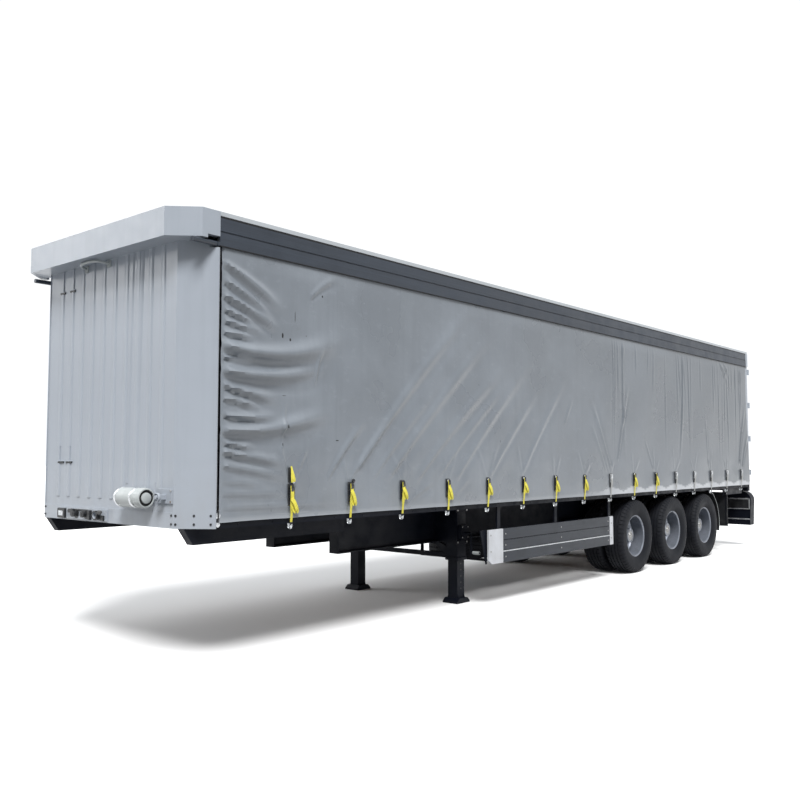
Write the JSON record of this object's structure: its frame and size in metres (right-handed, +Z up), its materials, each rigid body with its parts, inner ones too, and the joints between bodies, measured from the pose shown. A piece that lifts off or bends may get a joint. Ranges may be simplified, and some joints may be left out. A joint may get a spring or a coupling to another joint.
{
  "type": "curtain-side semi trailer",
  "caption": "Curtain-side semi trailer with twin-tyred axles, landing legs, kingpin, side guards, strapped side curtains and hinged rear doors over a hollow load space.",
  "frame": {"origin": "on the ground under the middle of the whole trailer's box", "axes": "+X forward to the towing vehicle, +Y to the trailer's left, +Z up"},
  "size_m": [12.828, 2.587, 3.608],
  "materials": {
    "body_paint": "satin light grey-blue paint",
    "chassis_paint": "semi-gloss near-black navy paint",
    "rail_paint": "satin slate paint",
    "roof_skin": "satin off-white",
    "pole_paint": "satin black",
    "guard_paint": "satin dark grey",
    "galvanised": "dull galvanised steel",
    "bare_steel": "forged and machined steel",
    "rim_paint": "silver-grey wheel paint",
    "tyre": "matt black tread rubber",
    "rubber": "matt black rubber",
    "plywood": "phenolic-faced hardwood plywood",
    "curtain_cloth": "semi-gloss coated grey cloth",
    "strap_webbing": "yellow woven webbing",
    "black_plastic": "matt black moulded plastic",
    "grey_plastic": "satin grey moulded plastic",
    "lamp_lens": "glossy red lens"
  },
  "bodies": {
    "trailer_body": {"main_beams": "chassis_paint", "neck_rails": "chassis_paint", "neck_bolsters": "chassis_paint", "cross_members": "chassis_paint", "coupler_plate": "chassis_paint", "kingpin": "bare_steel", "side_raves": "chassis_paint", "floor_deck": "plywood", "front_wall": "body_paint", "front_sill": "body_paint", "corner_posts": "body_paint", "header_cap": "body_paint", "roof_panel": "roof_skin", "roof_bows": "galvanised", "roof_rails": "rail_paint", "rear_posts": "body_paint", "rear_header": "body_paint", "rear_sill": "chassis_paint", "dock_buffers": "rubber", "side_pillars": "galvanised", "curtain_poles": "pole_paint", "curtain_left": "curtain_cloth", "curtain_right": "curtain_cloth", "curtain_straps": "strap_webbing", "landing_legs": "chassis_paint", "landing_brace": "chassis_paint", "landing_crank": "galvanised", "side_guards": "guard_paint", "guard_ends": "body_paint", "guard_posts": "chassis_paint", "spare_wheel": "tyre", "spare_carrier": "chassis_paint", "axles": "chassis_paint", "spring_packs": "chassis_paint", "spring_hangers": "chassis_paint", "rear_mudguards": "black_plastic", "rear_bumper": "chassis_paint", "rear_lamps": "lamp_lens", "document_tube": "grey_plastic", "service_panel": "black_plastic", "air_tank": "chassis_paint"},
    "wheel_1_left": {"tyres_1_left": "tyre", "rims_1_left": "rim_paint"},
    "wheel_1_right": {"tyres_1_right": "tyre", "rims_1_right": "rim_paint"},
    "wheel_2_left": {"tyres_2_left": "tyre", "rims_2_left": "rim_paint"},
    "wheel_2_right": {"tyres_2_right": "tyre", "rims_2_right": "rim_paint"},
    "wheel_3_left": {"tyres_3_left": "tyre", "rims_3_left": "rim_paint"},
    "wheel_3_right": {"tyres_3_right": "tyre", "rims_3_right": "rim_paint"},
    "door_left": {"rear_door_left": "body_paint", "lock_gear_left": "galvanised"},
    "door_right": {"rear_door_right": "body_paint", "lock_gear_right": "galvanised"}
  },
  "joints": [
    {"name": "wheel_1_left_spin", "type": "hinge", "parent": "trailer_body", "child": "wheel_1_left", "pos_m": [-1.444, 0.948, 0.52], "axis": [0, 1, 0], "continuous": true},
    {"name": "wheel_1_right_spin", "type": "hinge", "parent": "trailer_body", "child": "wheel_1_right", "pos_m": [-1.444, -0.948, 0.52], "axis": [0, 1, 0], "continuous": true},
    {"name": "wheel_2_left_spin", "type": "hinge", "parent": "trailer_body", "child": "wheel_2_left", "pos_m": [-2.742, 0.948, 0.52], "axis": [0, 1, 0], "continuous": true},
    {"name": "wheel_2_right_spin", "type": "hinge", "parent": "trailer_body", "child": "wheel_2_right", "pos_m": [-2.742, -0.948, 0.52], "axis": [0, 1, 0], "continuous": true},
    {"name": "wheel_3_left_spin", "type": "hinge", "parent": "trailer_body", "child": "wheel_3_left", "pos_m": [-4.04, 0.948, 0.52], "axis": [0, 1, 0], "continuous": true},
    {"name": "wheel_3_right_spin", "type": "hinge", "parent": "trailer_body", "child": "wheel_3_right", "pos_m": [-4.04, -0.948, 0.52], "axis": [0, 1, 0], "continuous": true},
    {"name": "door_left_hinge", "type": "hinge", "parent": "trailer_body", "child": "door_left", "pos_m": [-6.271, 1.255, 2.3], "axis": [0, 0, -1], "range_deg": [0, 270]},
    {"name": "door_right_hinge", "type": "hinge", "parent": "trailer_body", "child": "door_right", "pos_m": [-6.271, -1.255, 2.3], "axis": [0, 0, 1], "range_deg": [0, 270]}
  ]
}
